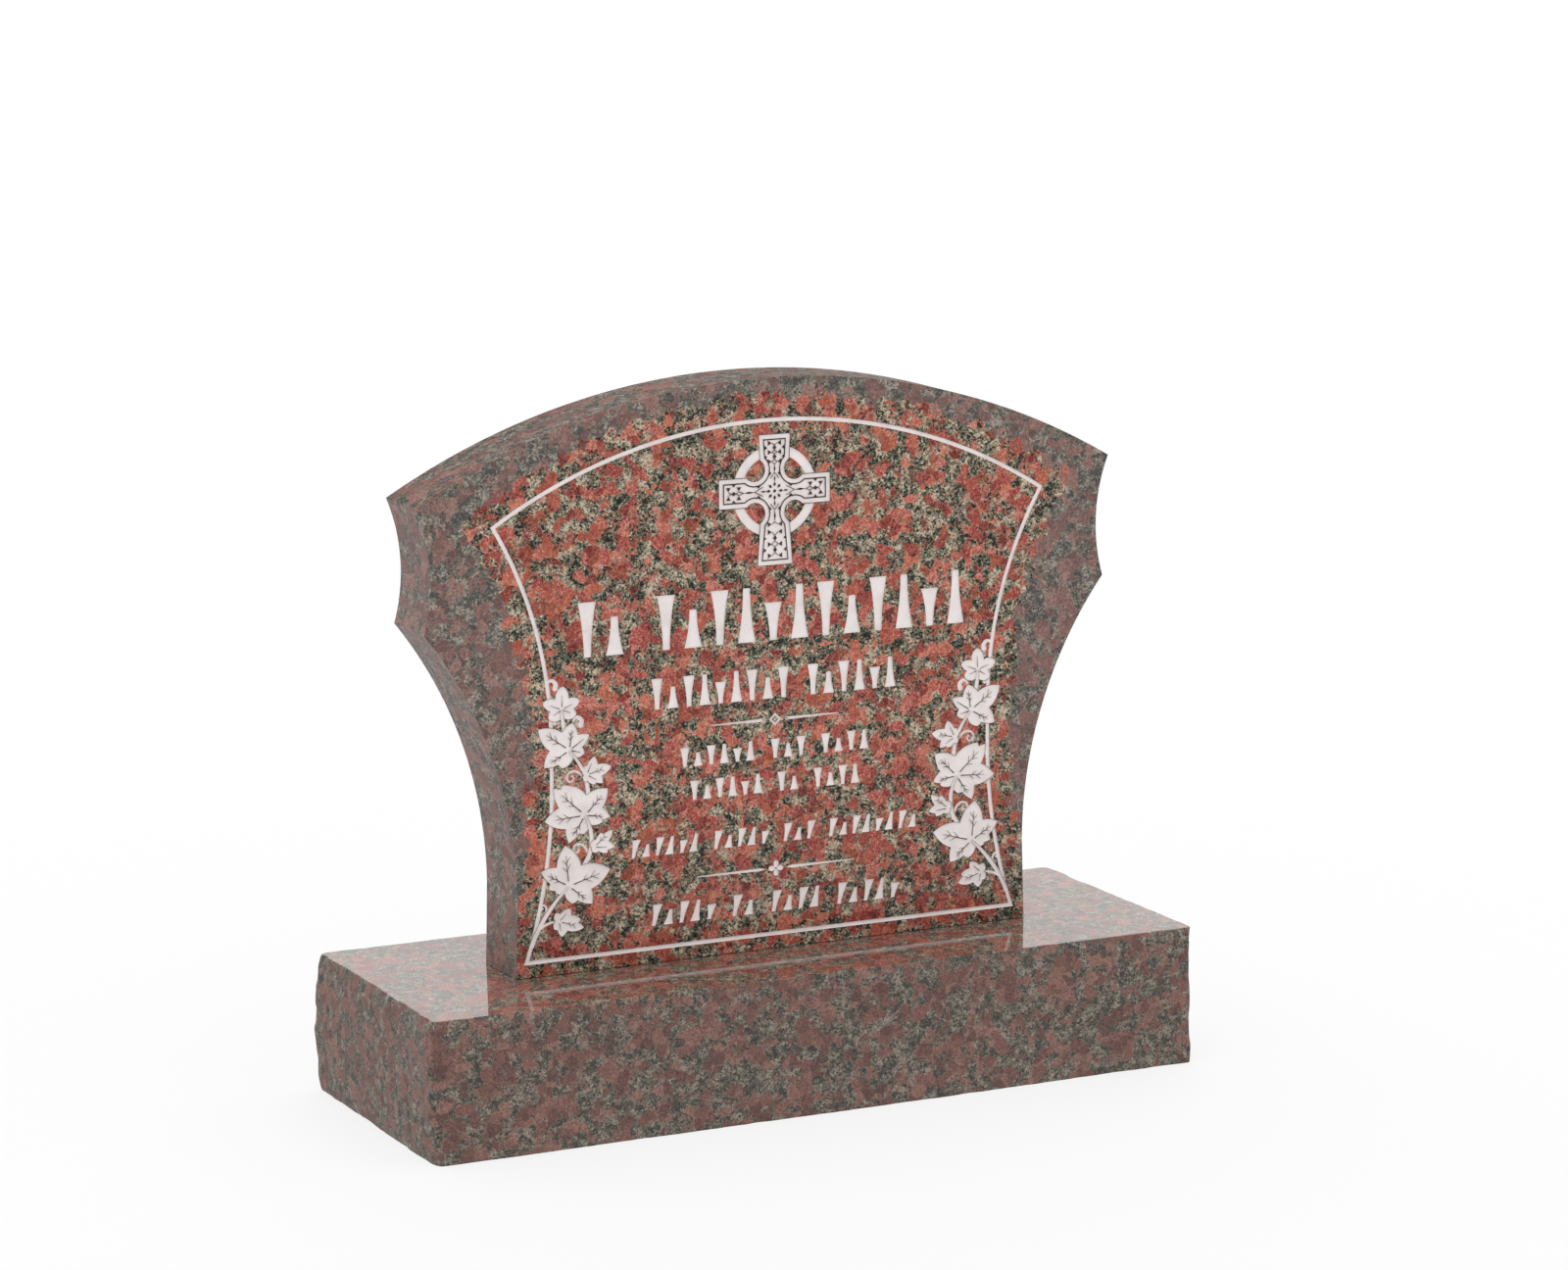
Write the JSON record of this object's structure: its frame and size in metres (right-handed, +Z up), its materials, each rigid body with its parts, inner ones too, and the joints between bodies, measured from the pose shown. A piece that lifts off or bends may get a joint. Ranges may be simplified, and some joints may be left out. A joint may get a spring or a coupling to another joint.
{
  "type": "granite headstone",
  "caption": "Upright granite headstone with a carved ring cross, ivy border and rows of chisel strokes on its face, standing on a rock-pitched base.",
  "frame": {"origin": "centre of the base's underside, on the ground", "axes": "+Z up, the carved face looks along -Y, +X to the right of a person who faces it"},
  "size_m": [0.9343, 0.3556, 0.7893],
  "materials": {
    "polished_granite": "polished red granite panel with a steeled surround and white painted carving",
    "pitched_granite": "rock-pitched red granite sides and a polished top"
  },
  "bodies": {
    "root": {"tablet": "polished_granite", "base": "pitched_granite"}
  },
  "joints": []
}
